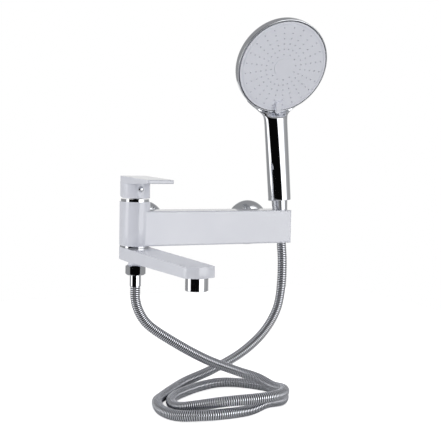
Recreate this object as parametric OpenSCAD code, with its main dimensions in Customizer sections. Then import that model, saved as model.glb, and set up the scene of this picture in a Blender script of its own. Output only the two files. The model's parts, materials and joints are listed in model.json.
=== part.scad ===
// Bath shower mixer for a wall: a white body with a column and a box bar, a lever on top of
// the column, a swinging spout below it, a shower hose and a hand shower standing in the bar.
// Millimetres. X runs along the bar, +Y goes into the wall, +Z is up. The origin lies on the
// wall, midway between the two wall sockets.

/* [Wall unions] */
// Distance between the wall sockets, as the unions are turned
wall_spacing = 166; // [152:1:170]
// Distance between the two inlets of the body
inlet_spacing = 150; // [146:1:156]
// Radius of the threaded wall tails
tail_r = 10.48; // [9.5:0.01:11.5]
// Length of the wall tails
tail_len = 16; // [12:1:24]
// Radius of the union behind its escutcheon
union_r = 12; // [11.5:0.1:13]
// Radius of the union thread that the inlet nut takes
union_thread_r = 13.2; // [12.8:0.1:14]
// Length of the union thread
union_thread_len = 12; // [9:0.5:14]
// Thickness of the eccentric disc in the union
union_disc = 6; // [4:0.5:8]
// Wall between the eccentric disc's faces and its water way
union_wall = 1.5; // [1:0.1:2]
// Radius of the water way through the unions
union_bore_r = 7; // [5:0.5:8]
// Radius of an escutcheon at the wall
escutcheon_r = 33; // [28:0.5:38]
// Height of an escutcheon from the wall
escutcheon_h = 14; // [10:0.5:16]
// Wall thickness of an escutcheon
escutcheon_wall = 1.6; // [1.2:0.1:3]

/* [Inlets] */
// Width across the flats of an inlet nut
inlet_nut_af = 30; // [29:0.5:33]
// Length of an inlet nut
inlet_nut_len = 15; // [13:0.5:18]
// Thickness of the lip that holds an inlet nut
inlet_lip = 3; // [2:0.5:4]
// Radius of the neck that an inlet nut turns on
spigot_r = 10.6; // [10:0.1:11.4]
// Thickness of the collar at the end of an inlet neck
spigot_collar = 2; // [1.5:0.5:3]
// Length of the bare inlet neck between the collar and the bar
spigot_len = 7; // [6:0.5:10]
// Thickness of an inlet washer
inlet_washer_t = 2; // [1:0.5:3]
// Depth of an inlet bore inside the bar
inlet_bore_depth = 18; // [10:1:26]

/* [Body] */
// Height of the bar
bar_h = 46; // [42:1:52]
// Depth of the bar, front to back
bar_d = 46; // [42:1:52]
// Distance from the middle of the inlets to the right end of the bar
bar_right = 109; // [102:1:120]
// Rounding of the long edges of the bar
bar_edge_r = 2; // [1:0.5:4]
// Rounding of the upright edges at the right end of the bar
bar_end_r = 2.5; // [1:0.5:4]
// Distance from the middle of the inlets to the axis of the column
column_offset = 117; // [112:1:124]
// Width of the square column
column_w = 37; // [36:0.5:42]
// Rounding of the column's upright edges
column_r = 6; // [3:0.5:8]
// Height of the column above the bar
column_rise = 12; // [9:0.5:16]
// How far the column stands out in front of the bar
column_proud = 1.5; // [0.5:0.5:3]

/* [Cartridge] */
// Radius of the cartridge
cartridge_r = 12.8; // [12:0.1:13.2]
// Depth of the cartridge pocket below the top of the column
pocket_depth = 31; // [30:0.5:34]
// Thickness of the seal below the cartridge
cartridge_seal_t = 2; // [1:0.5:3]
// Radius of the ring nut that holds the cartridge
ring_nut_r = 14.8; // [14.2:0.1:15.4]
// Height of the ring nut
ring_nut_h = 6.5; // [4:0.5:6.5]
// Radius of the ceramic discs
disc_r = 9.7; // [9:0.1:9.8]
// Thickness of a ceramic disc
disc_t = 3; // [2:0.5:3.5]
// Radius of the stem that the lever sits on
stem_r = 3.9; // [3.4:0.1:4.2]
// Radius of the pin that the stem tilts on
stem_pin_r = 1.2; // [1:0.1:1.4]

/* [Lever] */
// Height of the chrome trim ring
trim_h = 3.5; // [2.5:0.5:5]
// Width of the chrome trim ring
trim_w = 34; // [32:0.5:36]
// Gap between the trim ring and the lever's block
trim_gap = 1.3; // [1:0.1:2.5]
// Width of the lever and of its block
lever_w = 36; // [34:0.5:38]
// Height of the lever's block at its back
lever_h = 29; // [27:0.5:34]
// Length of the lever in front of the column's axis
lever_len = 90; // [70:1:110]
// Drop of the lever's top from its back to its tip
lever_drop = 3; // [0:0.5:6]
// Thickness of the lever at its tip
lever_tip_t = 4.5; // [3.5:0.5:6]
// Thickness of the lever where it leaves its block
lever_root_t = 7; // [6:0.5:9]
// How far the lever can be lifted
lever_lift = 12; // [5:1:14]
// Radius of the indicator plug on the block's front
plug_r = 3.7; // [3.2:0.1:4.4]
// Radius of the grub screw behind the plug
grub_r = 2.5; // [2:0.1:3]

/* [Spout] */
// Thickness of the collar between the column and the spout
collar_t = 2; // [1.5:0.5:3]
// Width of the square collar between the column and the spout
collar_w = 36; // [30:0.5:37]
// Width of the spout
spout_w = 37; // [36:0.5:42]
// Length of the spout from the column's axis to its tip
spout_len = 220; // [160:1:240]
// Thickness of the spout at the column
spout_root_t = 16.5; // [15:0.5:20]
// Thickness of the spout at its tip
spout_tip_t = 12; // [11:0.5:14]
// Rounding of the spout's corners at its tip
spout_tip_r = 7; // [4:0.5:12]
// Radius of the arc across the spout's tip
spout_end_r = 28; // [22:1:60]
// Distance from the spout's tip to the middle of its aerator
aerator_inset = 16; // [15:0.5:24]
// Radius of the aerator
aerator_r = 12.9; // [12.4:0.1:14]
// Height of the aerator below its seat
aerator_h = 14.5; // [10:0.5:18]
// Height of the lip round the aerator's mouth
lip_h = 3.6; // [2.5:0.1:5]
// Radius of the water way through the aerator
aerator_bore_r = 10.2; // [9:0.1:10.6]

/* [Shower outlet] */
// Radius of the stem that the spout turns on
pivot_r = 9; // [8.5:0.1:9.4]
// Depth of that stem inside the column
pivot_depth = 10; // [7:0.5:12]
// Radius of the water way through the stem
pivot_bore_r = 5; // [4:0.5:5.5]
// Radius of the shoulder that carries the spout
shoulder_r = 11; // [10.5:0.1:12]
// Height of the shoulder
shoulder_h = 2.7; // [2:0.1:3.5]
// Length of the neck between the spout and the hose nut
outlet_neck = 6; // [4:0.5:9]
// Radius of the threaded outlet
outlet_r = 10.4; // [10:0.1:10.48]
// Length of the threaded outlet
outlet_len = 9.5; // [8:0.5:10.5]

/* [Hose] */
// Outside diameter of the hose
hose_d = 13.5; // [11:0.5:14]
// Diameter of the bore of the hose
hose_bore = 8.5; // [7:0.5:9]
// Depth of the grooves between the ribs of the hose
hose_groove = 0.5; // [0.2:0.1:1]
// Number of ribs along the hose
hose_ribs = 190; // [100:1:200]
// Width across the flats of the hose nut
hose_nut_af = 23; // [22.6:0.1:26]
// Turn of the hose nut as it was tightened
hose_nut_turn = -22; // [-30:1:30]
// Height of the hose nut
hose_nut_h = 13.2; // [13.2:0.1:16]
// Thickness of the flange of a ferrule
ferrule_flange = 1.5; // [1:0.1:2]
// Radius of a ferrule
ferrule_r = 7.4; // [7.1:0.1:7.5]
// Length of the lower ferrule below the hose nut
ferrule_len = 15; // [10:0.5:20]
// Thickness of a hose washer
hose_washer_t = 2; // [1.5:0.1:2.5]

/* [Holder] */
// Distance from the right end of the bar to the holder's axis at mid height
holder_inset = 8; // [5:0.5:9]
// Distance from the wall to the holder's axis
holder_reach = 71.5; // [66:0.5:73]
// Sideways lean of the holder towards the middle
holder_lean = 4.5; // [0:0.5:6]
// Width of the slot that lets the hose in from the right end
holder_slot = 15; // [14.6:0.1:16]
// Clearance between the cone nut and the holder
holder_clearance = 0.4; // [0.3:0.1:0.8]
// Radius of the cone nut at its top
cone_top_r = 11.3; // [11:0.1:12]
// Radius of the cone nut at its foot
cone_low_r = 8.6; // [8.4:0.1:9]
// Length of the cone nut
cone_len = 49; // [44:1:56]
// How far the cone nut stands above the bar
cone_stand = 14; // [10:0.5:18]

/* [Hand shower] */
// Turn of the hand shower in its holder
shower_turn = -4; // [-20:1:20]
// Radius of the grip at its foot
grip_low_r = 16; // [15:0.1:17.5]
// Radius of the grip below the neck
grip_top_r = 16.8; // [15:0.1:18]
// Length of the straight grip
grip_len = 113; // [100:1:120]
// Rounding of the shoulder of the grip
shoulder_edge_r = 3; // [2:0.5:5]
// Rounding of the foot of the grip
grip_edge_r = 2; // [1:0.5:3]
// Height of the middle of the face above the middle of the bar
head_rise = 221; // [210:1:235]
// Distance of the middle of the face in front of the grip's axis
head_forward = 32; // [26:1:38]
// Tilt of the face against the grip
head_tilt = 26; // [20:1:32]
// Radius of the head
head_r = 66.5; // [60:0.5:70]
// Depth of the head
head_d = 25; // [20:0.5:30]
// Width of the rim round the face plate
rim_w = 2.6; // [2:0.1:4]
// Thickness of the face plate
face_t = 4; // [3:0.1:5]
// How far the face plate stands out of the rim
face_proud = 1; // [0.5:0.1:2]
// Radius of the spindle that the face plate turns on
spindle_r = 5; // [4:0.1:6]
// Length of the spindle behind the face plate
spindle_len = 9; // [6:0.5:12]
// Width of the selector tab
tab_w = 6.5; // [5:0.5:8]
// Length of the selector tab past the edge of the face
tab_over = 2; // [1:0.5:3]
// Height of the selector tab above the face plate
tab_h = 6; // [4:0.5:8]
// Radius of the cap in the middle of the face
cap_r = 13.4; // [11:0.1:15]
// Thickness of the cap in the middle of the face
cap_t = 0.8; // [0.4:0.1:1.5]
// Radius of a nozzle at its foot
nozzle_r = 0.9; // [0.8:0.1:1.5]
// Height of a nozzle
nozzle_h = 1.2; // [0.6:0.1:2]
// Number of spokes of nozzles
nozzle_spokes = 24; // [16:1:28]

/* [Hidden] */
// Play of a running fit, on the radius
run = 0.06;
// Play of a fixed fit, on the radius
snug = 0.1;
// Gap between pieces that move past each other
part_gap = 0.3;
// Rounded forms
$fn = 64;

// Levels along the wall unions and inlets, as distances from the wall
union_end = escutcheon_h + union_disc + union_thread_len;
inlet_face = union_end + inlet_washer_t;
spigot_step = inlet_face + spigot_collar;
bar_back = spigot_step + spigot_len;
inlet_nut_end = spigot_step + inlet_lip;
spigot_collar_r = union_thread_r - 0.6;

// The turning face and how far its tab sweeps
plate_r = head_r - rim_w - part_gap;
tab_reach = norm([plate_r + tab_over, tab_w / 2]);

// Places of the bar, the column and the holder
bar_mid_y = -(bar_back + bar_d / 2);
bar_front = bar_back + bar_d;
column_y = -(bar_front + column_proud - column_w / 2);
column_x = -column_offset;
bar_top = bar_h / 2;
bar_low = -bar_h / 2;
column_top = bar_top + column_rise;
holder_x = bar_right - holder_inset;
holder_y = -holder_reach;

// Heights inside the cartridge pocket
pocket_floor = column_top - pocket_depth;
seat_z = pocket_floor + cartridge_seal_t;
cartridge_floor = 3;
disc_z = seat_z + cartridge_floor;
moving_disc_z = disc_z + disc_t + part_gap;
carrier_z = moving_disc_z + disc_t;
cartridge_shoulder = column_top - 0.3 - ring_nut_h;
cartridge_lid = 0.8;
carrier_top = cartridge_shoulder - cartridge_lid - part_gap;
cartridge_top = column_top - 2;
cavity_r = disc_r + 0.4;
neck_r = 9.2;
neck_bore_r = 7.2;
stem_pin_z = carrier_top - 3;
stem_foot = carrier_z + 2.2;
// The slot's floor clears the low corner of the stem when the lever is fully up
slot_floor = stem_pin_z - (stem_pin_z - stem_foot) * cos(lever_lift) - stem_r * sin(lever_lift) - part_gap;

// Heights of the lever
trim_top = column_top + trim_h;
lever_foot = trim_top + trim_gap;
lever_top = lever_foot + lever_h;
lever_tip_z = lever_top - lever_drop;
stem_top = lever_foot + 17;
// Behind this line the lifted lever would meet the trim ring, so its foot is relieved there
relief_start = ((lever_foot - stem_pin_z) * cos(lever_lift) - (trim_top + part_gap - stem_pin_z)) / sin(lever_lift);
screw_z = lever_foot + 12;
plug_depth = 6;

// Heights of the spout and the outlet below the bar
collar_z = bar_low - collar_t;
spout_top = collar_z - part_gap;
spout_low = spout_top - spout_root_t;
aerator_y = -(spout_len - aerator_inset);
aerator_seat = spout_top - spout_root_t + 3.5;
aerator_low = aerator_seat - aerator_h;
shoulder_top = spout_low + part_gap + shoulder_h;
neck_low = spout_low - outlet_neck;
outlet_low = neck_low - outlet_len;
washer_low = outlet_low - hose_washer_t;
flange_low = washer_low - ferrule_flange;
nut_top = flange_low - 1 + hose_nut_h;
hose_start = flange_low - 1 - ferrule_len;
port_z = spout_low + 8.8;

// Levels along the holder's axis, measured from the middle of the bar
cone_top = bar_top + cone_stand;
cone_low = cone_top - cone_len;
hose_end = cone_low - 3;
tail_low = cone_top - 16.5;
upper_washer = tail_low - hose_washer_t;
upper_flange = upper_washer - ferrule_flange;
tail_thread_r = cone_top_r - 1.94;
upper_flange_r = ferrule_r + 1.2;
grip_top = cone_top + grip_len;
tail_socket_r = 8;
tail_socket = 15;

// The hose: points chosen by hand along its way over the floor below the mixer
floor_points = [
    [-112, -73, -111], [-98, -77, -131], [-62, -89, -156], [-23, -99, -178], [15, -116, -193],
    [35, -136, -199], [43, -163, -204], [40, -199, -199], [21, -225, -197], [-11, -237, -195],
    [-54, -228, -197], [-83, -206, -205], [-95, -184, -212], [-97, -163, -215], [-92, -143, -215],
    [-80, -126, -215], [-60, -111, -215], [-30, -94, -215], [2, -89, -214], [32, -100, -215],
    [55, -130, -215], [58, -163, -215], [42, -192, -215], [8, -212, -210], [-20, -222, -213],
    [-60, -231, -211], [-90, -223, -212], [-110, -203, -215], [-118, -175, -215], [-111, -143, -214],
    [-95, -121, -215], [-72, -98, -214], [-41, -70, -213], [5, -58, -203], [45, -66, -181],
    [78, -67, -155], [97, -71, -123], [105, -70, -90]];
route = concat([for (drop = [part_gap, 13.8, 17]) [column_x, column_y, hose_start - drop]], floor_points,
    [for (drop = [38, 14, part_gap]) on_holder(hose_end - drop)]);
hose_sides = 8;
bore_every = 5;

function on_holder(s) = [holder_x - s * sin(holder_lean), holder_y, s * cos(holder_lean)];

// A smooth curve through the route: each piece leaves its point towards the chord of its neighbours
function route_at(i) = i < 0 ? 2 * route[0] - route[1]
    : i >= len(route) ? 2 * route[len(route) - 1] - route[len(route) - 2] : route[i];
function curve_point(i, t) = let (a = route_at(i - 1), b = route_at(i), c = route_at(i + 1), d = route_at(i + 2))
    0.5 * (2 * b + (c - a) * t + (2 * a - 5 * b + 4 * c - d) * t * t + (3 * b - a - 3 * c + d) * t * t * t);
curve_steps = 10;
curve = concat([for (i = [0:len(route) - 2], k = [0:curve_steps - 1]) curve_point(i, k / curve_steps)],
    [route[len(route) - 1]]);
curve_run = [for (i = 0, s = 0; i < len(curve);
    s = s + (i + 1 < len(curve) ? norm(curve[i + 1] - curve[i]) : 0), i = i + 1) s];
hose_length = curve_run[len(curve) - 1];
tables = [for (k = [0:2]) [for (i = [0:len(curve) - 1]) [curve_run[i], curve[i][k]]]];
function along(s) = [for (k = [0:2]) lookup(s, tables[k])];
function heading(s) = let (h = along(min(s + 2, hose_length)) - along(max(s - 2, 0))) h / norm(h);

// Rings of the ribbed tube, kept free of twist from one ring to the next
outer_rings = 2 * hose_ribs;
ring_s = [for (i = [0:outer_rings - 1]) i * hose_length / (outer_rings - 1)];
ring_heading = [for (s = ring_s) heading(s)];
function square_to(v, h) = let (w = v - h * (v * h)) w / norm(w);
ring_side = [for (i = 0, v = square_to([1, 0, 0], ring_heading[0]); i < outer_rings; i = i + 1,
    v = square_to(v, ring_heading[min(i, outer_rings - 1)])) v];
function ring(i, r) = [for (k = [0:hose_sides - 1]) let (a = 360 * (k + 0.5) / hose_sides, u = ring_side[i])
    along(ring_s[i]) + r * (cos(a) * u + sin(a) * cross(ring_heading[i], u))];
bore_rings = [for (i = [0:outer_rings - 1]) if (i % bore_every == 0 || i == outer_rings - 1) i];
function band(a, b, n) = [for (k = [0:n - 1]) let (j = (k + 1) % n) each [[a + k, a + j, b + j], [a + k, b + j, b + k]]];

// Least gap of the hose to itself, measured on points 8 mm apart along it
gap_points = [for (s = [0:8:hose_length]) along(s)];
hose_gap = min([for (i = [0:len(gap_points) - 1]) for (j = [i + 8:1:len(gap_points) - 1])
    norm(gap_points[i] - gap_points[j])]) - hose_d;
echo(hose_length = hose_length, least_gap = hose_gap);

white_paint = [0.86, 0.87, 0.90];
chrome = [0.78, 0.80, 0.82];
brass = [0.80, 0.66, 0.36];
rubber = [0.15, 0.15, 0.16];
ceramic = [0.93, 0.92, 0.88];
plastic = [0.80, 0.80, 0.84];

// Placing helpers

module at_column() translate([column_x, column_y, 0]) children();

// z runs out from the wall here
module from_wall(x) translate([x, 0, 0]) rotate([90, 0, 0]) children();

// z runs up the holder's axis here
module on_holder_axis() translate([holder_x, holder_y, 0]) rotate([0, -holder_lean, 0])
    rotate([0, 0, shower_turn]) children();

// z runs out of the face here and y up along it
module on_face() on_holder_axis() translate([0, -head_forward, head_rise])
    rotate([90 + head_tilt, 0, 0]) children();

// Shapes that repeat

module rounded_square(w, d, r) {
    square([w - 2 * r, d], center = true);
    square([w, d - 2 * r], center = true);
    for (x = [-1, 1], y = [-1, 1]) translate([x * (w / 2 - r), y * (d / 2 - r)]) circle(r);
}

// Half round at the front, square with round corners at the back
module half_round(w, r) {
    intersection() {
        circle(w / 2);
        translate([-w, -w]) square([2 * w, w]);
    }
    translate([-w / 2, 0]) square([w, w / 2 - r]);
    translate([r - w / 2, 0]) square([w - 2 * r, w / 2]);
    for (side = [-1, 1]) translate([side * (w / 2 - r), w / 2 - r]) circle(r);
}

module tube(z0, z1, r, bore) difference() {
    translate([0, 0, z0]) cylinder(h = z1 - z0, r = r);
    translate([0, 0, z0 - 1]) cylinder(h = z1 - z0 + 2, r = bore);
}

module rod(z0, z1, r) translate([0, 0, z0]) cylinder(h = z1 - z0, r = r);

// A hexagon bar with its corners turned off at both ends
module hex_bar(z0, z1, af) intersection() {
    translate([0, 0, z0]) cylinder(h = z1 - z0, r = af / sqrt(3), $fn = 6);
    translate([0, 0, z0]) rotate_extrude() polygon([[0, 0], [af / 2 - 0.3, 0], [af / sqrt(3), af * 0.07],
        [af / sqrt(3), z1 - z0 - af * 0.07], [af / 2 - 0.3, z1 - z0], [0, z1 - z0]]);
}

// Wall unions and inlets

module wall_union(side) color(chrome) difference() {
    union() {
        from_wall(side * wall_spacing / 2) {
            rod(-tail_len, 1, tail_r);
            rod(0, escutcheon_h + union_disc, union_r);
        }
        from_wall(side * wall_spacing / 2) rod(escutcheon_h, escutcheon_h + union_disc, union_thread_r);
        from_wall(side * inlet_spacing / 2) rod(escutcheon_h, union_end, union_thread_r);
    }
    from_wall(side * wall_spacing / 2) rod(-tail_len - 1, escutcheon_h + union_disc - union_wall, union_bore_r);
    from_wall(side * inlet_spacing / 2) rod(escutcheon_h + union_wall, union_end + 1, union_bore_r);
    from_wall(side * (wall_spacing + inlet_spacing) / 4) translate([0, 0, escutcheon_h + union_disc / 2])
        cube([abs(wall_spacing - inlet_spacing) / 2, union_bore_r, union_disc - 2 * union_wall], center = true);
}

module left_union() wall_union(-1);
module right_union() wall_union(1);

// A quarter of an ellipse swept round the union, with a hub that slides on it
module escutcheon(side) color(chrome) from_wall(side * wall_spacing / 2) rotate_extrude() {
    hub_r = union_r + snug;
    span = escutcheon_r - hub_r - 3;
    outer = [for (a = [0:7.5:90]) [hub_r + 3 + span * cos(a), 1.5 + (escutcheon_h - 1.5) * sin(a)]];
    inner = [for (a = [90:-7.5:0]) [hub_r + 3 + (span - escutcheon_wall) * cos(a),
        1.5 + (escutcheon_h - 1.5 - escutcheon_wall) * sin(a)]];
    polygon(concat([[escutcheon_r, 0.2]], outer, [[hub_r, escutcheon_h], [hub_r, escutcheon_h - escutcheon_wall]],
        inner, [[escutcheon_r - escutcheon_wall, 0.2]]));
}

module left_escutcheon() escutcheon(-1);
module right_escutcheon() escutcheon(1);

module inlet_nut(side) color(chrome) from_wall(side * inlet_spacing / 2) difference() {
    hex_bar(inlet_nut_end - inlet_nut_len, inlet_nut_end, inlet_nut_af);
    rod(inlet_nut_end - inlet_nut_len - 1, spigot_step, union_thread_r + snug);
    rod(spigot_step - 1, inlet_nut_end + 1, spigot_r + snug);
}

module left_inlet_nut() inlet_nut(-1);
module right_inlet_nut() inlet_nut(1);

module inlet_washer(side) color(rubber) from_wall(side * inlet_spacing / 2)
    tube(union_end, inlet_face, spigot_collar_r, union_bore_r + 1);

module left_inlet_washer() inlet_washer(-1);
module right_inlet_washer() inlet_washer(1);

// Body

// The bar's rounded section drawn along X and cut to its outline from above
module bar_block() intersection() {
    translate([column_x, bar_mid_y, 0]) rotate([90, 0, 90])
        linear_extrude(bar_right - column_x) rounded_square(bar_d, bar_h, bar_edge_r);
    translate([(bar_right + column_x) / 2, bar_mid_y, bar_low - 1])
        linear_extrude(bar_h + 2) rounded_square(bar_right - column_x, bar_d, bar_end_r);
}

module inlet_spigot(side) from_wall(side * inlet_spacing / 2) {
    rod(inlet_face, spigot_step, spigot_collar_r);
    rod(inlet_face, bar_back + 2, spigot_r);
}

// The taper that the cone nut stands in, with a slot to the right end of the bar
module holder_cut() {
    taper = (cone_top_r - cone_low_r) / cone_len;
    on_holder_axis() {
        translate([0, 0, cone_low]) cylinder(h = cone_len, r1 = cone_low_r + holder_clearance,
            r2 = cone_top_r + holder_clearance);
        rod(bar_low - 20, cone_low + 1, cone_low_r + holder_clearance);
    }
    translate([holder_x, holder_y, 0]) rotate([0, -holder_lean, 0])
        translate([0, -holder_slot / 2, -bar_h]) cube([holder_inset * 4, holder_slot, bar_h * 2]);
}

module body_casting() color(white_paint) difference() {
    union() {
        at_column() translate([0, 0, bar_low])
            linear_extrude(bar_h + column_rise) half_round(column_w, column_r);
        bar_block();
        inlet_spigot(-1);
        inlet_spigot(1);
    }
    at_column() {
        rod(pocket_floor, column_top + 1, cartridge_r + snug);
        rod(cartridge_shoulder, column_top + 1, ring_nut_r + snug);
        rod(bar_low - 1, bar_low + pivot_depth, pivot_r);
    }
    for (side = [-1, 1]) from_wall(side * inlet_spacing / 2)
        rod(inlet_face - 1, bar_back + inlet_bore_depth, union_bore_r + 1);
    holder_cut();
}

// Cartridge

module cartridge_seal() color(rubber) at_column() tube(pocket_floor, seat_z, cartridge_r - 0.4, disc_r - 2);

module cartridge_housing() color(plastic) at_column() difference() {
    union() {
        rod(seat_z, cartridge_shoulder, cartridge_r);
        rod(cartridge_shoulder - 1, cartridge_top, neck_r);
    }
    rod(disc_z, cartridge_shoulder - cartridge_lid, cavity_r);
    rod(disc_z, cartridge_top + 1, neck_bore_r);
    for (a = [0, 120, 240]) rotate([0, 0, a]) translate([disc_r / 2, 0, 0]) rod(seat_z - 1, disc_z + 1, 2.2);
}

module fixed_disc() color(ceramic) at_column() difference() {
    rod(disc_z, disc_z + disc_t, disc_r);
    for (a = [0, 120, 240]) rotate([0, 0, a]) translate([disc_r / 2, 0, 0]) rod(disc_z - 1, disc_z + disc_t + 1, 2.2);
}

module moving_disc() color(ceramic) at_column() difference() {
    rod(moving_disc_z, carrier_z, disc_r - 0.8);
    translate([0, disc_r / 4, 0]) rod(moving_disc_z - 1, carrier_z - 1, disc_r / 2);
}

// Turns with the lever and lets its stem tilt from front to back
module disc_carrier() color(plastic) at_column() difference() {
    rod(carrier_z, carrier_top, disc_r);
    translate([-stem_r - part_gap, -7.6, slot_floor])
        cube([2 * (stem_r + part_gap), 15.2, carrier_top - slot_floor + 1]);
    translate([0, 0, stem_pin_z]) rotate([0, 90, 0]) rod(-disc_r - 1, disc_r + 1, stem_pin_r);
}

module stem_pin() color(chrome) at_column() translate([0, 0, stem_pin_z]) rotate([0, 90, 0])
    rod(-disc_r + 0.5, disc_r - 0.5, stem_pin_r);

module lever_stem() color(brass) at_column() difference() {
    rod(stem_foot, stem_top, stem_r);
    translate([0, 0, stem_pin_z]) rotate([0, 90, 0]) rod(-disc_r, disc_r, stem_pin_r + run);
}

module ring_nut() color(brass) at_column()
    tube(cartridge_shoulder, cartridge_shoulder + ring_nut_h, ring_nut_r, neck_r + snug);

module trim_ring() color(chrome) at_column() difference() {
    translate([0, 0, column_top]) linear_extrude(trim_h) half_round(trim_w, column_r - 1);
    rod(column_top - 1, trim_top + 1, neck_r + part_gap);
}

// Lever

// Side view of the lever, front to the left: a relieved foot at the back for the lift, the
// block, the plate and its tip
module lever_side() {
    back = lever_w / 2;
    relief = (back - relief_start) * tan(lever_lift + 0.5);
    plate_low = lever_tip_z - lever_root_t;
    polygon(concat(
        [[back, lever_foot + relief], [relief_start, lever_foot], [-back, lever_foot], [-back, plate_low]],
        [[1.5 - lever_len, lever_tip_z - lever_tip_t], [-lever_len, lever_tip_z - lever_tip_t + 1],
         [-lever_len, lever_tip_z - 1], [1 - lever_len, lever_tip_z], [back - 1.5, lever_top], [back, lever_top - 1.5]]));
}

module lever_solid() translate([-lever_w / 2 - 1, 0, 0]) rotate([90, 0, 90]) linear_extrude(lever_w + 2) lever_side();

module lever_handle() color(white_paint) at_column() difference() {
    union() {
        intersection() {
            lever_solid();
            translate([0, 0, lever_foot - 1]) linear_extrude(lever_h + 2) half_round(lever_w, column_r);
        }
        intersection() {
            lever_solid();
            translate([0, (column_r - lever_len) / 2, lever_tip_z - lever_root_t]) linear_extrude(lever_h)
                rounded_square(lever_w, lever_len + column_r, 4);
        }
    }
    rod(lever_foot - 1, stem_top, stem_r + snug);
    translate([0, 0, screw_z]) rotate([90, 0, 0]) {
        rod(0, lever_w, grub_r + snug);
        rod(lever_w / 2 - plug_depth, lever_w, plug_r + snug);
    }
}

module grub_screw() color(brass) at_column() translate([0, 0, screw_z]) rotate([90, 0, 0])
    rod(stem_r + 0.05, lever_w / 2 - plug_depth, grub_r);

// A dished plug over the grub screw
module indicator_plug() color(chrome) at_column() translate([0, 0, screw_z]) rotate([90, 0, 0]) difference() {
    rod(lever_w / 2 - plug_depth, lever_w / 2 + 0.6, plug_r);
    translate([0, 0, lever_w / 2 - 1]) cylinder(h = 2, r1 = plug_r * 0.45, r2 = plug_r);
}

// Spout and shower outlet

module spout_collar() color(chrome) at_column() difference() {
    translate([0, 0, collar_z]) linear_extrude(collar_t) half_round(collar_w, column_r);
    rod(collar_z - 1, bar_low + 1, pivot_r + snug);
}

module outlet_stem() color(brass) at_column() difference() {
    union() {
        rod(spout_low + part_gap, bar_low + pivot_depth, pivot_r);
        rod(spout_low + part_gap, shoulder_top, shoulder_r);
        rod(neck_low, spout_low + 1, outlet_r - 0.8);
        rod(outlet_low, neck_low, outlet_r);
    }
    rod(outlet_low - 1, bar_low + pivot_depth - 3, pivot_bore_r);
    for (a = [0, 90]) rotate([0, 0, a + 45]) translate([0, 0, port_z]) rotate([90, 0, 0]) rod(-pivot_r - 1, pivot_r + 1, 2);
    for (z = o_ring_levels()) o_ring_cut(z);
}

function o_ring_levels() = [port_z - 4, port_z + 4];
o_ring_r = 0.9;

module o_ring_cut(z) difference() {
    rod(z - o_ring_r - 0.1, z + o_ring_r + 0.1, pivot_r + 1);
    rod(z - 2, z + 2, pivot_r - 2 * o_ring_r);
}

module stem_o_rings() color(rubber) at_column() for (z = o_ring_levels())
    translate([0, 0, z]) rotate_extrude() translate([pivot_r - o_ring_r, 0]) circle(o_ring_r, $fn = 24);

// Outline from above: straight sides, round corners and an arc across the tip that meets them smoothly
module spout_outline() {
    corner_x = spout_w / 2 - spout_tip_r;
    arc_y = spout_end_r - spout_len;
    corner_y = arc_y - sqrt(pow(spout_end_r - spout_tip_r, 2) - corner_x * corner_x);
    wedge = 2 * spout_end_r / (arc_y - corner_y);
    back = spout_w / 2;
    translate([-back, corner_y]) square([spout_w, -corner_y + back - column_r]);
    translate([column_r - back, corner_y]) square([spout_w - 2 * column_r, -corner_y + back]);
    for (side = [-1, 1]) translate([side * (back - column_r), back - column_r]) circle(column_r);
    for (side = [-1, 1]) translate([side * corner_x, corner_y]) circle(spout_tip_r);
    intersection() {
        translate([0, arc_y]) circle(spout_end_r);
        polygon([[0, arc_y], [-corner_x * wedge, arc_y - 2 * spout_end_r], [corner_x * wedge, arc_y - 2 * spout_end_r]]);
    }
}

// Side view: a level top and a belly that thins towards the tip
module spout_side() {
    back = spout_w / 2 + 1;
    tip = -spout_len - 1;
    polygon([[back, spout_top], [tip, spout_top], [tip, spout_top - spout_tip_t], [-spout_w / 2, spout_low], [back, spout_low]]);
}

module spout() color(white_paint) at_column() difference() {
    union() {
        intersection() {
            translate([0, 0, spout_low - 1]) linear_extrude(spout_root_t + 2) spout_outline();
            translate([-spout_w, 0, 0]) rotate([90, 0, 90]) linear_extrude(2 * spout_w) spout_side();
        }
        translate([0, aerator_y, 0]) rod(aerator_seat, spout_top - 3, aerator_r);
    }
    rod(spout_low - 1, spout_top + 1, pivot_r + run);
    rod(spout_low - 1, shoulder_top + part_gap, shoulder_r + part_gap);
    rod(port_z - 2.6, port_z + 2.6, pivot_r + 1.6);
    translate([0, 0, port_z]) rotate([90, 0, 0]) rod(0, -aerator_y, 3.5);
    translate([0, aerator_y, 0]) rod(aerator_seat - 1, spout_top - 4, aerator_r - 1);
}

module aerator_gasket() color(rubber) at_column() translate([0, aerator_y, 0])
    tube(spout_top - 5.5, spout_top - 4, aerator_r - 1.2, aerator_bore_r - 1.5);

module aerator_insert() color(plastic) at_column() translate([0, aerator_y, 0]) difference() {
    rod(aerator_low + 1.5, aerator_seat, aerator_bore_r - snug);
    for (ring = [3, 6.5]) for (a = [0:360 / (2 * ring):359]) rotate([0, 0, a]) translate([ring, 0, 0])
        rod(aerator_low, aerator_seat + 1, 0.9, $fn = 16);
}

module aerator_shell() color(chrome) at_column() translate([0, aerator_y, 0]) difference() {
    union() {
        rod(aerator_low + lip_h, aerator_seat, aerator_r);
        rod(aerator_low + lip_h - 0.6, aerator_low + lip_h, aerator_r - 0.4);
        translate([0, 0, aerator_low]) cylinder(h = 0.6, r1 = aerator_r - 0.6, r2 = aerator_r);
        rod(aerator_low + 0.6, aerator_low + lip_h - 0.6, aerator_r);
        rod(aerator_seat - 1, spout_top - 5.5, aerator_r - 1 - snug);
    }
    rod(aerator_low + 1.5, aerator_seat, aerator_bore_r);
    rod(aerator_low - 1, spout_top, aerator_bore_r - 1.4);
}

// Hose

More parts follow.
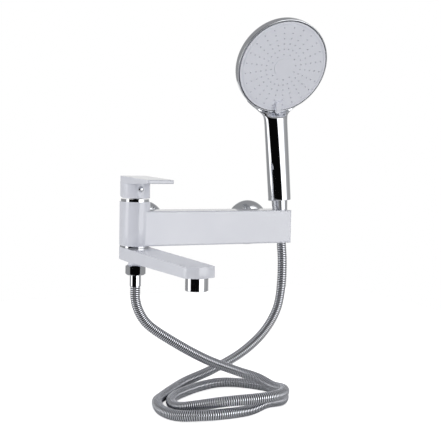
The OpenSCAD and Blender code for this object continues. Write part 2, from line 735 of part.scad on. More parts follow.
module hose_nut() color(chrome) at_column() rotate([0, 0, hose_nut_turn]) difference() {
    hex_bar(nut_top - hose_nut_h, nut_top, hose_nut_af);
    rod(flange_low, nut_top + 1, outlet_r + snug);
    rod(nut_top - hose_nut_h - 1, flange_low + 1, ferrule_r + snug);
}

module lower_washer() color(rubber) at_column() tube(washer_low, outlet_low, outlet_r - 1, pivot_bore_r);

module ferrule(flange0, flange1, low, flange_r) difference() {
    union() {
        rod(flange0, flange1, flange_r);
        rod(low, flange1, ferrule_r);
    }
    rod(low - 1, flange1 + 1, hose_bore / 2);
}

module lower_ferrule() color(chrome) at_column() ferrule(flange_low, washer_low, hose_start, outlet_r - 1);

module shower_hose() color(chrome) {
    outer_n = outer_rings * hose_sides;
    bore_n = len(bore_rings) * hose_sides;
    last_outer = outer_n - hose_sides;
    last_bore = outer_n + bore_n - hose_sides;
    points = concat([for (i = [0:outer_rings - 1]) each ring(i, hose_d / 2 - (i % 2 == 0 ? 0 : hose_groove))],
        [for (i = bore_rings) each ring(i, hose_bore / 2)]);
    faces = concat([for (i = [0:outer_rings - 2]) each band((i + 1) * hose_sides, i * hose_sides, hose_sides)],
        [for (i = [0:len(bore_rings) - 2]) each band(outer_n + i * hose_sides, outer_n + (i + 1) * hose_sides, hose_sides)],
        band(0, outer_n, hose_sides), band(last_bore, last_outer, hose_sides));
    polyhedron(points, faces, convexity = 10);
}

module upper_ferrule() color(chrome) on_holder_axis() ferrule(upper_flange, upper_washer, hose_end, upper_flange_r);

module upper_washer() color(rubber) on_holder_axis() tube(upper_washer, tail_low, upper_flange_r, hose_bore / 2);

module cone_nut() color(chrome) on_holder_axis() difference() {
    translate([0, 0, cone_low]) cylinder(h = cone_len, r1 = cone_low_r, r2 = cone_top_r);
    rod(cone_low - 1, cone_top, ferrule_r + snug);
    rod(upper_flange, cone_top, upper_flange_r + snug);
    rod(tail_low, cone_top + 1, tail_thread_r + snug);
}

// Hand shower

module shower_tail() color(brass) on_holder_axis() difference() {
    union() {
        rod(tail_low, cone_top, tail_thread_r);
        rod(cone_top - 1, cone_top + tail_socket, tail_socket_r - snug);
    }
    rod(tail_low - 1, cone_top + tail_socket + 1, pivot_bore_r);
}

// The grip: a slim cone with a rounded foot and a rounded shoulder
module grip() rotate_extrude() polygon(concat([[0, cone_top]],
    [for (a = [-90:15:0]) [grip_low_r - grip_edge_r + grip_edge_r * cos(a), cone_top + grip_edge_r + grip_edge_r * sin(a)]],
    [for (a = [0:15:90]) [grip_top_r - shoulder_edge_r + shoulder_edge_r * cos(a),
        grip_top - shoulder_edge_r + shoulder_edge_r * sin(a)]], [[0, grip_top]]));

// The head from the side: a rim with a soft edge, and a back that is part of an ellipse
module head_shape() rotate_extrude($fn = 96) {
    rim = head_d * 0.3;
    polygon(concat([[0, 0], [head_r - 1.2, 0], [head_r, -1.2], [head_r, -rim * 0.6]],
        [for (a = [0:7.5:90]) [(head_r - 0.5) * cos(a), -rim - (head_d - rim) * sin(a)]]));
}

// The neck: a loft that widens from the grip's shoulder to the back of the head
module neck() hull() {
    on_holder_axis() translate([0, grip_top_r * 0.2, grip_top - 6]) scale([1, 0.8, 1])
        cylinder(h = 4, r = grip_top_r - 0.6, $fn = 32);
    on_face() translate([0, -head_r + 19, -head_d * 0.48]) scale([2.2, 1, 0.5]) sphere(13, $fn = 32);
}

module shower_shell() color(chrome) difference() {
    union() {
        on_holder_axis() grip();
        neck();
        on_face() head_shape();
    }
    on_holder_axis() rod(cone_top - 1, cone_top + tail_socket, tail_socket_r);
    on_face() {
        rod(face_proud - face_t - part_gap, face_proud + 0.3, head_r - rim_w);
        rod(face_proud + 0.2, face_proud + head_d, tab_reach + part_gap);
        rod(face_proud - face_t - spindle_len - part_gap, 0, spindle_r + run);
    }
}

// The turning face with its spindle and the selector tab at its foot
module face_plate() color(plastic) on_face() {
    difference() {
        rod(face_proud - face_t, face_proud, plate_r);
        translate([0, 0, face_proud - 0.5]) tube(0, 1, plate_r - 3, plate_r - 4);
    }
    rod(face_proud - face_t - spindle_len, face_proud - 1, spindle_r);
    translate([-tab_w / 2, -plate_r - tab_over, face_proud + 0.6]) cube([tab_w, 14 + tab_over, tab_h - 0.6]);
    translate([-tab_w / 2, -plate_r + 2, face_proud - 1]) cube([tab_w, 12, tab_h]);
}

module centre_cap() color(plastic) on_face() rod(face_proud, face_proud + cap_t, cap_r);

// Spokes of nozzles, each second spoke starting one step further out
module nozzles() color(rubber) on_face() {
    first = cap_r + 5;
    last = head_r - rim_w - 8;
    rings = 6;
    for (k = [0:nozzle_spokes - 1]) for (i = [k % 2:1:rings - 1]) rotate([0, 0, 360 * (k + 0.5) / nozzle_spokes])
        translate([first + (last - first) * i / (rings - 1), 0, face_proud])
            cylinder(h = nozzle_h, r1 = nozzle_r, r2 = nozzle_r * 0.6, $fn = 16);
}

body_casting();
left_union();
right_union();
left_escutcheon();
right_escutcheon();
left_inlet_nut();
right_inlet_nut();
left_inlet_washer();
right_inlet_washer();
cartridge_seal();
cartridge_housing();
fixed_disc();
moving_disc();
disc_carrier();
stem_pin();
lever_stem();
ring_nut();
trim_ring();
lever_handle();
grub_screw();
indicator_plug();
spout_collar();
outlet_stem();
stem_o_rings();
spout();
aerator_gasket();
aerator_insert();
aerator_shell();
hose_nut();
lower_washer();
lower_ferrule();
shower_hose();
upper_ferrule();
upper_washer();
cone_nut();
shower_tail();
shower_shell();
face_plate();
centre_cap();
nozzles();
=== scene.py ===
import json
import bpy
import numpy as np
from mathutils import Matrix


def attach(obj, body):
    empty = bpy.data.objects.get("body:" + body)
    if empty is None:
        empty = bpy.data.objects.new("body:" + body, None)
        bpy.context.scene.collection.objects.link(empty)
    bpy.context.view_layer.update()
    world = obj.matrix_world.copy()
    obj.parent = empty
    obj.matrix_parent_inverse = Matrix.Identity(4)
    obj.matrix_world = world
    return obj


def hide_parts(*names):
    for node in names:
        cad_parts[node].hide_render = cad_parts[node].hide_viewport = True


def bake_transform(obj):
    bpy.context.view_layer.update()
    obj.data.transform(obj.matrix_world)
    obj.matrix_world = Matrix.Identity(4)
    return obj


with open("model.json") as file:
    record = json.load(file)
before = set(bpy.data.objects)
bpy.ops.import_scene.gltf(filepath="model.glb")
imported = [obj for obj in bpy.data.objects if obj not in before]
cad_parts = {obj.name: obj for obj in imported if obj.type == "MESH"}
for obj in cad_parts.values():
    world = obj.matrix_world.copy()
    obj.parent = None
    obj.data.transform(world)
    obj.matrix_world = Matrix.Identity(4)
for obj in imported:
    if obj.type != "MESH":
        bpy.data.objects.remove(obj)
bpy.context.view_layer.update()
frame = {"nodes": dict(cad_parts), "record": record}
MM = 0.001
NODES = frame["nodes"]


# Sizes shared with the part's source, in millimetres and degrees

COLUMN = np.array([-117.0, -72.0])
HOLDER = np.array([101.0, -71.5, 0.0])
HOLDER_LEAN = 4.5
SHOWER_TURN = -4.0
HEAD_FORWARD = 32.0
HEAD_RISE = 221.0
HEAD_TILT = 26.0
HEAD_R = 66.5
HEAD_D = 25.0
PLUG_R = 3.7
PLUG_FRONT = 18.6
SCREW_Z = 51.8
HOSE_D = 13.5
HOSE_START = -76.8
HOSE_END = -15.0
HOSE_GAP = 0.3


# Sizes of the looks alone, in millimetres and degrees

ENAMEL_EDGE = 0.6
ENAMEL_EDGE_ANGLE = 40.0
WELD_REACH = 0.01
RIM_W = 1.5
LIP_R = 1.0
RIM_FROM = 4.0
RIM_TO = 7.6
RECESS_D = 3.4
RECESS_EDGE = 0.4
BACK_START = 8.5
POLE_R = 0.5
DOME_R = 7.2
DOME_RISE = 1.0
PLUG_RIM = 5.0
PLUG_EDGE = 0.3
HOSE_PITCH = 2.6
HOSE_GROOVE = 1.2
FLOOR_Z = -222.0
FLOOR_REACH = 700.0


# Sockets of Blender's nodes that are found by number

FROM_MIN, FROM_MAX, TO_MIN, TO_MAX = 1, 2, 3, 4
COLOUR_A, COLOUR_B, MIXED_COLOUR = 6, 7, 2


# Arrays and meshes

def linear(hex_colour):
    """An sRGB hex colour as linear red, green, blue and full alpha."""
    c = np.array([int(hex_colour[i:i + 2], 16) for i in (1, 3, 5)]) / 255
    return (*np.where(c <= 0.04045, c / 12.92, ((c + 0.055) / 1.055) ** 2.4).tolist(), 1.0)


def turn(axis, degrees):
    """Rotation matrix about the part's x, y or z axis."""
    return np.array(Matrix.Rotation(np.radians(degrees), 3, axis.upper()))


def mesh_from_grid(name, grid, caps=False):
    """A mesh from a grid of points in millimetres, rows along the path and columns around it.

    Each square of four neighbours is one face, the last column joins the first, and caps closes the
    first and the last ring with one face each.
    """
    rows, cols = grid.shape[:2]
    r = np.arange(rows - 1)[:, None]
    c = np.arange(cols)[None, :]
    c2 = (c + 1) % cols
    corners = [r * cols + c, r * cols + c2, (r + 1) * cols + c2, (r + 1) * cols + c]
    faces = np.stack(corners, axis=-1).reshape(-1, 4)
    ends = [list(range(cols))[::-1], list(range((rows - 1) * cols, rows * cols))] if caps else []
    mesh = bpy.data.meshes.new(name)
    mesh.from_pydata((grid.reshape(-1, 3) * MM).tolist(), [], faces.tolist() + ends)
    mesh.polygons.foreach_set("use_smooth", np.arange(len(mesh.polygons)) < len(faces))
    mesh.update()
    return add_object(name, mesh)


def add_object(name, mesh):
    """An object at the origin that shows the mesh."""
    piece = bpy.data.objects.new(name, mesh)
    bpy.context.scene.collection.objects.link(piece)
    return piece


def smooth_path(points, per_piece):
    """A curve through the points: on each piece a cubic whose slope at a point is half the chord between
    that point's neighbours."""
    p = np.vstack([2 * points[0] - points[1], points, 2 * points[-1] - points[-2]])
    t = (np.arange(per_piece) / per_piece)[None, :, None]
    a, b, c, d = (p[i:len(p) - 3 + i][:, None, :] for i in range(4))
    square = 2 * a - 5 * b + 4 * c - d
    cube = 3 * b - a - 3 * c + d
    curve = 0.5 * (2 * b + (c - a) * t + square * t ** 2 + cube * t ** 3)
    return np.vstack([curve.reshape(-1, points.shape[1]), points[-1]])


def even_steps(path, count):
    """Points at equal distances along a path, and the path's length."""
    run = np.concatenate([[0], np.cumsum(np.linalg.norm(np.diff(path, axis=0), axis=1))])
    s = np.linspace(0, run[-1], count)
    return np.stack([np.interp(s, run, path[:, k]) for k in range(3)], axis=1), run[-1]


def eased(line, reach):
    """A line whose points are the means of their neighbours on both sides, weighted by a raised cosine, with
    both ends carried straight on."""
    weight = np.hanning(2 * reach + 3)[1:-1]
    weight /= weight.sum()
    steps = np.arange(1, reach + 1)[:, None]
    before = line[0] - steps[::-1] * (line[1] - line[0])
    after = line[-1] + steps * (line[-1] - line[-2])
    longer = np.vstack([before, line, after])
    return np.stack([np.convolve(longer[:, k], weight, "valid") for k in range(3)], axis=1)


def on_holder(points):
    """Points given on the holder's axis, x right, y back and z up along it, in the part's frame."""
    return points @ (turn("y", -HOLDER_LEAN) @ turn("z", SHOWER_TURN)).T + HOLDER


def on_face(points):
    """Points given on the face, x right, y up along it and z out of it, in the part's frame."""
    place = points @ turn("x", 90 + HEAD_TILT).T + np.array([0, -HEAD_FORWARD, HEAD_RISE])
    return on_holder(place)


def on_screw(points):
    """Points given along the lever's screw, z out of the lever's front, in the part's frame."""
    return points @ turn("x", 90).T + np.array([*COLUMN, SCREW_Z])


def revolve(name, profile, place, sides):
    """A profile of radius and height turned about the z axis of a placing function, closed at both ends."""
    a = np.linspace(0, 2 * np.pi, sides, endpoint=False)
    r, z = profile[:, 0][:, None], profile[:, 1][:, None]
    grid = np.stack([r * np.cos(a), r * np.sin(a), z + 0 * a], axis=-1)
    return mesh_from_grid(name, place(grid.reshape(-1, 3)).reshape(grid.shape), caps=True)


def arc(centre, radius, first, last, count):
    """Points on a circle of a profile, from one angle to another in degrees."""
    a = np.radians(np.linspace(first, last, count))
    return np.array(centre) + radius * np.stack([np.cos(a), np.sin(a)], axis=1)


# Materials

def material(name):
    """A new material with its shader, and a function that adds a node with settings and links."""
    made = bpy.data.materials.new(name)
    made.use_nodes = True
    tree = made.node_tree
    return made, tree.nodes["Principled BSDF"], node_adder(tree)


def node_adder(tree):
    """A function that adds one node: attributes by name, and socket values or links by number or name."""
    def add(kind, sockets=None, **settings):
        node = tree.nodes.new(kind)
        for key, value in settings.items():
            setattr(node, key, value)
        for key, value in (sockets or {}).items():
            if isinstance(value, bpy.types.NodeSocket):
                tree.links.new(value, node.inputs[key])
            else:
                node.inputs[key].default_value = value
        return node
    return add


def scale_of(size_mm):
    """The scale of a pattern whose features are about this many millimetres wide."""
    return 1.0 / (size_mm * MM)


def white_enamel():
    """Baked white enamel on brass: cool white in faint clouds of about 56 mm, wet gloss, and an orange-peel
    waviness of about 3 mm."""
    made, shader, add = material("white_enamel")
    place = add("ShaderNodeTexCoord").outputs["Object"]
    tone = add("ShaderNodeTexNoise", {"Vector": place, "Scale": scale_of(55.6), "Detail": 2.0})
    ramp = add("ShaderNodeValToRGB", {"Fac": tone.outputs["Fac"]})
    tones = ((0.3, "#DFE1EA"), (0.7, "#E4E6EE"))
    for stop, (position, colour) in zip(ramp.color_ramp.elements, tones):
        stop.position = position
        stop.color = linear(colour)
    peel = add("ShaderNodeTexNoise", {"Vector": place, "Scale": scale_of(3.125), "Detail": 1.0})
    bump = add("ShaderNodeBump", {"Strength": 0.05, "Distance": 0.2 * MM, "Height": peel.outputs["Fac"]})
    made.node_tree.links.new(ramp.outputs["Color"], shader.inputs["Base Color"])
    made.node_tree.links.new(bump.outputs["Normal"], shader.inputs["Normal"])
    shader.inputs["Roughness"].default_value = 0.07
    shader.inputs["IOR"].default_value = 1.7
    return made


def plated_metal(name, tint, rough):
    """Plated or bare metal: a mirror of the given tint and roughness, with faint polishing marks and water
    spots of about 17 mm in its gloss."""
    made, shader, add = material(name)
    place = add("ShaderNodeTexCoord").outputs["Object"]
    marks = add("ShaderNodeTexNoise", {"Vector": place, "Scale": scale_of(16.7), "Detail": 3.0})
    gloss = add("ShaderNodeMapRange", {
        "Value": marks.outputs["Fac"], FROM_MIN: 0.35, FROM_MAX: 0.75, TO_MIN: rough, TO_MAX: rough + 0.03})
    made.node_tree.links.new(gloss.outputs[0], shader.inputs["Roughness"])
    shader.inputs["Base Color"].default_value = linear(tint)
    shader.inputs["Metallic"].default_value = 1.0
    return made


def ribbed_steel():
    """Polished steel strip wound into a hose: its own tint on the crests, and painted shade, a darker base
    colour, down in the grooves by the ribs' own groove attribute, with the wear of handling in its gloss in
    patches of about 11 mm."""
    made, shader, add = material("hose_steel_with_painted_groove_shade")
    place = add("ShaderNodeTexCoord").outputs["Object"]
    depth = add("ShaderNodeAttribute", attribute_name="groove")
    ramp = add("ShaderNodeValToRGB", {"Fac": depth.outputs["Fac"]})
    # The crest tint, then the groove colour, which is painted shade
    tones = ((0.1, "#E6E8EE"), (0.28, "#3A3B3F"))
    for stop, (position, colour) in zip(ramp.color_ramp.elements, tones):
        stop.position = position
        stop.color = linear(colour)
    wear = add("ShaderNodeTexNoise", {"Vector": place, "Scale": scale_of(11.1), "Detail": 3.0})
    gloss = add("ShaderNodeMapRange", {
        "Value": wear.outputs["Fac"], FROM_MIN: 0.35, FROM_MAX: 0.75, TO_MIN: 0.05, TO_MAX: 0.11})
    made.node_tree.links.new(ramp.outputs["Color"], shader.inputs["Base Color"])
    made.node_tree.links.new(gloss.outputs[0], shader.inputs["Roughness"])
    shader.inputs["Metallic"].default_value = 1.0
    return made


def moulded(name, dark, light, grain_mm, rough):
    """Moulded plastic, rubber or ceramic: two close tones in cloudy patches of about 25 mm, and a fine raised
    grain of the given size."""
    made, shader, add = material(name)
    place = add("ShaderNodeTexCoord").outputs["Object"]
    tone = add("ShaderNodeTexNoise", {"Vector": place, "Scale": scale_of(25.0), "Detail": 2.0})
    mix = add("ShaderNodeMix", {
        "Factor": tone.outputs["Fac"], COLOUR_A: linear(dark), COLOUR_B: linear(light)}, data_type="RGBA")
    grain = add("ShaderNodeTexNoise", {"Vector": place, "Scale": scale_of(grain_mm), "Detail": 1.0})
    bump = add("ShaderNodeBump", {"Strength": 0.08, "Distance": 0.1 * MM, "Height": grain.outputs["Fac"]})
    made.node_tree.links.new(mix.outputs[MIXED_COLOUR], shader.inputs["Base Color"])
    made.node_tree.links.new(bump.outputs["Normal"], shader.inputs["Normal"])
    shader.inputs["Roughness"].default_value = rough
    return made


enamel = white_enamel()
chrome = plated_metal("bright_chrome", "#DADCE0", 0.04)
hose_steel = ribbed_steel()
brass = plated_metal("machined_brass", "#C9A862", 0.28)
# A dark grey metal for the two brass pieces in the gap under the lever: painted shade of the gap
gap_shade_metal = plated_metal("gap_painted_shade_grey_metal", "#77777A", 0.3)
face_plastic = moulded("pale_face_plastic", "#EAECF4", "#EEF0F8", 0.8, 0.35)
nozzle_silicone = moulded("grey_nozzle_silicone", "#C8C9D4", "#CFD0DA", 0.5, 0.55)
black_rubber = moulded("black_rubber", "#131314", "#1B1B1C", 0.6, 0.6)
ceramic = moulded("lapped_ceramic", "#E9E6DC", "#F0EEE6", 0.3, 0.2)
inner_plastic = moulded("grey_acetal", "#B7B7B7", "#C4C4C4", 0.8, 0.45)

FINISH = {
    "white_enamel": enamel, "chrome": chrome, "chromed_plastic": chrome, "steel_hose": hose_steel,
    "face_plastic": face_plastic, "inner_plastic": inner_plastic, "brass": brass, "ceramic": ceramic,
    "black_rubber": black_rubber, "nozzle_rubber": nozzle_silicone,
}


def soften_edges(node):
    """A narrow rounded edge that catches the light, after the node's loose triangles are joined."""
    weld = node.modifiers.new("joined_faces", "WELD")
    weld.merge_threshold = WELD_REACH * MM
    edge = node.modifiers.new("soft_edge", "BEVEL")
    edge.width = ENAMEL_EDGE * MM
    edge.segments = 3
    edge.angle_limit = np.radians(ENAMEL_EDGE_ANGLE)
    edge.harden_normals = True


def finish_cad_nodes():
    """Each CAD node takes the material of its slot, and the enamelled ones get soft edges. The two brass
    pieces that show in the gap under the lever take a dark grey metal instead, as painted shade for the gap."""
    for subpart in frame["record"]["subparts"]:
        node = NODES[subpart["node"]]
        node.data.materials.clear()
        node.data.materials.append(FINISH[subpart["material_slot"]])
        if subpart["material_slot"] == "white_enamel":
            soften_edges(node)
    # The brass pieces in the gap under the lever are painted dark grey as shade
    for name in ("ring_nut", "lever_stem"):
        NODES[name].data.materials.clear()
        NODES[name].data.materials.append(gap_shade_metal)


finish_cad_nodes()


# Hand shower

def head_shell():
    """The chromed bowl behind the face: a rounded lip, an upright rim and a back that swells like a quarter
    ellipse, turned about the middle of the face, with the recess that the face turns in."""
    inner = HEAD_R - RIM_W
    swell = np.radians(np.linspace(2, 88, 30))
    back = np.stack([HEAD_R * np.cos(swell), -BACK_START - (HEAD_D - BACK_START) * np.sin(swell)], axis=1)
    profile = np.vstack([
        [[POLE_R, -RECESS_D], [inner - RECESS_EDGE, -RECESS_D]],
        [[inner, RECESS_EDGE - RECESS_D], [inner, -RECESS_EDGE]],
        arc((inner + RECESS_EDGE, -RECESS_EDGE), RECESS_EDGE, 180, 90, 5),
        arc((HEAD_R - LIP_R, -LIP_R), LIP_R, 90, 0, 9),
        [[HEAD_R, -RIM_FROM], [HEAD_R, -RIM_TO]],
        back,
        [[POLE_R, -HEAD_D]]])
    return revolve("shower_head_bowl", profile[::-1], on_face, 144)


# Height along the grip, half width, front, back and the depth at which it is widest, in millimetres
NECK = np.array([
    [37.0, 14.2, -14.2, 14.2, 0.0], [37.5, 15.4, -15.4, 15.4, 0.0], [39.0, 16.0, -16.0, 16.0, 0.0],
    [60.0, 16.2, -15.8, 16.2, 0.0], [90.0, 16.4, -15.0, 16.2, 0.0], [120.0, 16.6, -14.0, 16.0, 0.0],
    [140.0, 16.7, -13.2, 16.0, 0.0], [149.0, 16.9, -12.8, 16.0, 0.0], [152.0, 17.2, -12.4, 16.0, 0.0],
    [154.0, 17.6, -11.4, 16.0, 0.0], [155.6, 18.1, -9.8, 16.0, 0.0], [157.0, 18.7, -8.0, 15.8, 0.0],
    [158.6, 19.9, -6.2, 15.6, 0.0], [160.8, 22.2, -4.2, 15.2, 0.0], [163.2, 25.3, -1.8, 14.3, 0.2],
    [166.5, 29.5, -0.6, 12.9, -0.8], [170.0, 34.8, -1.2, 11.4, -2.6], [174.0, 40.3, -3.0, 9.4, -4.8],
    [178.0, 43.8, -4.6, 7.4, -4.0], [182.0, 42.0, -4.6, 5.6, -3.0]])
NECK_STEPS = 7
NECK_SIDES = 96


def grip_and_neck():
    """The chromed grip, a slim cone, and the neck that widens from it into the bowl: at each height an
    egg-shaped ring, half an ellipse in front and half an ellipse behind its widest line."""
    rows = smooth_path(NECK, NECK_STEPS)
    s, half, front, back, middle = (rows[:, k][:, None] for k in range(5))
    a = np.linspace(0, 2 * np.pi, NECK_SIDES, endpoint=False)[None, :]
    depth = np.where(np.sin(a) < 0, middle - front, back - middle)
    grid = np.stack([half * np.cos(a), middle + depth * np.sin(a), s + 0 * a], axis=-1)
    return mesh_from_grid("shower_grip", on_holder(grid.reshape(-1, 3)).reshape(grid.shape), caps=True)


for piece in (head_shell(), grip_and_neck()):
    piece.data.materials.append(chrome)
    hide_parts("shower_shell")
    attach(piece, "hand_shower")


# Lever plug

def domed_plug():
    """The chromed plug over the lever's screw: a short round rim and a low dome, turned about the screw."""
    rim = [[PLUG_R, PLUG_FRONT - PLUG_RIM], [PLUG_R, PLUG_FRONT - PLUG_EDGE]]
    dome = arc((0, PLUG_FRONT + DOME_RISE - DOME_R), DOME_R, 61, 87, 12)
    return revolve("indicator_dome", np.vstack([rim, dome]), on_screw, 48)


plug = domed_plug()
plug.data.materials.append(chrome)
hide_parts("indicator_plug")
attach(plug, "lever")


# Hose

HOSE_POINTS = np.array([
    [-112, -73, -111], [-98, -77, -131], [-62, -89, -156], [-23, -99, -178], [15, -116, -193],
    [35, -136, -199], [43, -163, -204], [40, -199, -199], [21, -225, -197], [-11, -237, -195],
    [-54, -228, -197], [-83, -206, -205], [-95, -184, -212], [-97, -163, -215], [-92, -143, -215],
    [-80, -126, -215], [-60, -111, -215], [-30, -94, -215], [2, -89, -214], [32, -100, -215],
    [55, -130, -215], [58, -163, -215], [42, -192, -215], [8, -212, -210], [-20, -222, -213],
    [-60, -231, -211], [-90, -223, -212], [-110, -203, -215], [-118, -175, -215], [-111, -143, -214],
    [-95, -121, -215], [-72, -98, -214], [-41, -70, -213], [5, -58, -203], [45, -66, -181],
    [78, -67, -155], [97, -71, -123], [105, -70, -90]], dtype=float)

# How far below each ferrule the points of its straight stretch lie, in millimetres
START_DROPS = (HOSE_GAP, 13.8, 17.0)
END_DROPS = (38.0, 14.0, HOSE_GAP)

# How finely the route is drawn, and the number of its even steps on each side that it is eased over
ROUTE_STEPS = 24
EVEN_STEPS = 1500
EASED_STEPS = 10

RINGS_PER_RIB = 8
HOSE_SIDES = 20
CREST_POWER = 0.35


def hose_route():
    """The hose's own line: straight out of the lower ferrule, over the floor, and straight into the upper
    one, eased over less than the hose's width to each side, because two points lie close at its start."""
    start = np.array([[*COLUMN, HOSE_START - drop] for drop in START_DROPS])
    end = on_holder(np.array([[0, 0, HOSE_END - drop] for drop in END_DROPS]))
    curve = smooth_path(np.vstack([start, HOSE_POINTS, end]), ROUTE_STEPS)
    return eased(even_steps(curve, EVEN_STEPS)[0], EASED_STEPS)


def ribbed_tube(name, path):
    """A ribbed tube: the radius swings between crest and groove along the path, rounded on the crests and
    narrow in the grooves, on rings that are carried along without twist."""
    length = even_steps(path, 2)[1]
    ribs = int(round(length / HOSE_PITCH))
    centres, length = even_steps(path, ribs * RINGS_PER_RIB + 1)
    heading = np.gradient(centres, axis=0)
    heading /= np.linalg.norm(heading, axis=1)[:, None]
    side = np.zeros_like(centres)
    v = np.array([1.0, 0.0, 0.0])
    for i, h in enumerate(heading):
        v = v - h * (v @ h)
        v /= np.linalg.norm(v)
        side[i] = v
    other = np.cross(heading, side)
    phase = np.arange(len(centres)) / RINGS_PER_RIB
    swing = np.abs(np.sin(np.pi * phase)) ** CREST_POWER
    radius = HOSE_D / 2 - HOSE_GROOVE * (1 - swing)
    a = np.linspace(0, 2 * np.pi, HOSE_SIDES, endpoint=False)[None, :, None]
    spoke = side[:, None, :] * np.cos(a) + other[:, None, :] * np.sin(a)
    tube = mesh_from_grid(name, centres[:, None, :] + radius[:, None, None] * spoke)
    depth = np.repeat(1 - swing, HOSE_SIDES).astype(np.float32)
    tube.data.attributes.new("groove", "FLOAT", "POINT").data.foreach_set("value", depth)
    return tube, centres, length


hose, hose_line, hose_length = ribbed_tube("hose", hose_route())
hose.data.materials.append(hose_steel)
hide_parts("shower_hose")
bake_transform(hose)


# Floor, light and camera

# Brightness round the horizon by the compass, in degrees from straight ahead of the bar to its right
STUDIO = [
    (-180, 0.36), (-122, 0.36), (-112, 1.9), (-91, 1.9), (-84, 0.003), (1, 0.003), (6, 2.6), (38, 2.6),
    (58, 0.5), (100, 0.36), (180, 0.36)]
GROUND = (0.5, 0.5, 0.5, 1)
CEILING = (0.36, 0.36, 0.365, 1)
WHITE = (1, 1, 1, 1)

# Heights at which the horizon gives way to the ground and to the ceiling, as sines of the angle above it
GROUND_FROM, GROUND_TO = -0.3, -0.18
CEILING_FROM, CEILING_TO = 0.4, 0.65

# The share of white that the floor shows the camera by itself
FLOOR_GLOW = 0.8

# The point that the lamps are aimed at, in metres
LAMP_TARGET = (0, -0.1, 0)

# The photograph's camera: place in millimetres, angles in degrees, focal length and width in its pixels
CAMERA_PLACE = np.array([-482.33, -1116.04, 90.34])
CAMERA_AZIMUTH, CAMERA_PITCH, CAMERA_ROLL = 25.06, 4.06, 1.11
FOCAL_PX, FRAME_PX = 836.87, 441


def pale_floor():
    """A pale floor under the hose, nearly white to the camera by itself, so that its soft shadow is faint."""
    square = ((-1, -1), (1, -1), (1, 1), (-1, 1))
    corners = [(x * FLOOR_REACH * MM, y * FLOOR_REACH * MM, FLOOR_Z * MM) for x, y in square]
    mesh = bpy.data.meshes.new("floor")
    mesh.from_pydata(corners, [], [(0, 1, 2, 3)])
    floor = add_object("floor", mesh)
    made, shader, add = material("pale_floor")
    shader.inputs["Base Color"].default_value = linear("#F4F4F4")
    shader.inputs["Roughness"].default_value = 0.9
    rays = add("ShaderNodeLightPath")
    glow = add("ShaderNodeMath", {0: rays.outputs["Is Camera Ray"], 1: FLOOR_GLOW}, operation="MULTIPLY")
    shader.inputs["Emission Color"].default_value = WHITE
    made.node_tree.links.new(glow.outputs[0], shader.inputs["Emission Strength"])
    floor.data.materials.append(made)


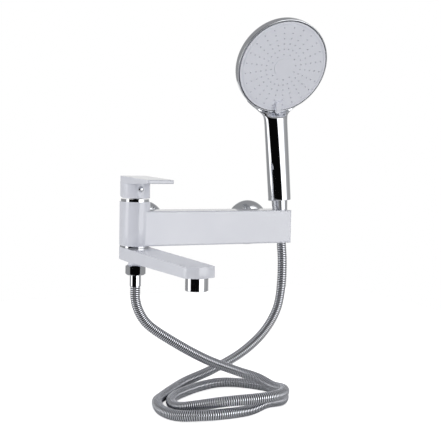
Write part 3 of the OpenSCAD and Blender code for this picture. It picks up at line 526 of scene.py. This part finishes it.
def studio_world():
    """A studio of two tall soft boxes, ahead and to the left, with black cloth between them, grey walls
    behind, a grey ground and ceiling, and white to the camera."""
    world = bpy.data.worlds.new("studio")
    bpy.context.scene.world = world
    world.use_nodes = True
    tree = world.node_tree
    tree.nodes.clear()
    add = node_adder(tree)
    way = add("ShaderNodeSeparateXYZ", {0: add("ShaderNodeTexCoord").outputs["Generated"]})
    back = add("ShaderNodeMath", {0: way.outputs["Y"], 1: -1.0}, operation="MULTIPLY")
    angle = add("ShaderNodeMath", {0: way.outputs["X"], 1: back.outputs[0]}, operation="ARCTAN2")
    share = add("ShaderNodeMapRange", {
        "Value": angle.outputs[0], FROM_MIN: -np.pi, FROM_MAX: np.pi, TO_MIN: 0.0, TO_MAX: 1.0})
    ring = add("ShaderNodeValToRGB", {"Fac": share.outputs[0]})
    for degrees, level in STUDIO:
        ring.color_ramp.elements.new((degrees + 180) / 360).color = (level, level, level, 1)
    ring.color_ramp.elements.remove(ring.color_ramp.elements[0])
    ring.color_ramp.elements.remove(ring.color_ramp.elements[-1])
    low = add("ShaderNodeMapRange", {
        "Value": way.outputs["Z"], FROM_MIN: GROUND_FROM, FROM_MAX: GROUND_TO, TO_MIN: 1.0, TO_MAX: 0.0})
    walls = add("ShaderNodeMix", {
        0: low.outputs[0], COLOUR_A: ring.outputs["Color"], COLOUR_B: GROUND}, data_type="RGBA")
    high = add("ShaderNodeMapRange", {
        "Value": way.outputs["Z"], FROM_MIN: CEILING_FROM, FROM_MAX: CEILING_TO, TO_MIN: 0.0, TO_MAX: 1.0})
    dome = add("ShaderNodeMix", {
        0: high.outputs[0], COLOUR_A: walls.outputs[MIXED_COLOUR], COLOUR_B: CEILING}, data_type="RGBA")
    rays = add("ShaderNodeLightPath")
    seen = add("ShaderNodeMix", {
        0: rays.outputs["Is Camera Ray"], COLOUR_A: dome.outputs[MIXED_COLOUR], COLOUR_B: WHITE},
        data_type="RGBA")
    light = add("ShaderNodeBackground", {"Color": seen.outputs[MIXED_COLOUR], "Strength": 1.0})
    add("ShaderNodeOutputWorld", {"Surface": light.outputs[0]})


def soft_lamp(name, place, size, watts):
    """A square soft box at a place in metres, aimed at the object, which doesn't show in the chrome."""
    data = bpy.data.lights.new(name, "AREA")
    data.energy = watts
    data.size = size
    lamp = bpy.data.objects.new(name, data)
    bpy.context.scene.collection.objects.link(lamp)
    away = np.array(place) - np.array(LAMP_TARGET)
    away /= np.linalg.norm(away)
    side = np.cross([0, 0, 1], away)
    side /= np.linalg.norm(side)
    lamp.matrix_world = placed(side, np.cross(away, side), away, place)
    lamp.visible_glossy = False


def placed(right, up, back, place):
    """The matrix of an object whose own axes point right, up and back, at a place in metres."""
    matrix = np.eye(4)
    matrix[:3, :3] = np.stack([right, up, back], axis=1)
    matrix[:3, 3] = place
    return Matrix(matrix.tolist())


def photo_camera():
    """The photograph's camera: place, direction and focal length fitted to the object's own edges."""
    azimuth, pitch, roll = np.radians([CAMERA_AZIMUTH, CAMERA_PITCH, CAMERA_ROLL])
    ahead = np.array([np.sin(azimuth), np.cos(azimuth), 0.0])
    forward = ahead * np.cos(pitch) - np.array([0.0, 0.0, np.sin(pitch)])
    level = np.array([np.cos(azimuth), -np.sin(azimuth), 0.0])
    upright = np.cross(level, forward)
    right = np.cos(roll) * level + np.sin(roll) * upright
    up = np.cos(roll) * upright - np.sin(roll) * level
    data = bpy.data.cameras.new("photo_camera")
    data.sensor_fit = "HORIZONTAL"
    data.lens = FOCAL_PX * data.sensor_width / FRAME_PX
    data.clip_end = 50
    camera = bpy.data.objects.new("photo_camera", data)
    bpy.context.scene.collection.objects.link(camera)
    camera.matrix_world = placed(right, up, -forward, CAMERA_PLACE * MM)
    bpy.context.scene.camera = camera


pale_floor()
studio_world()
soft_lamp("top_box", (0.2, -0.4, 1.8), 1.5, 0.6)
soft_lamp("left_box", (-1.7, -0.25, 0.1), 1.2, 10.5)
photo_camera()
bpy.context.scene.view_settings.view_transform = "Standard"
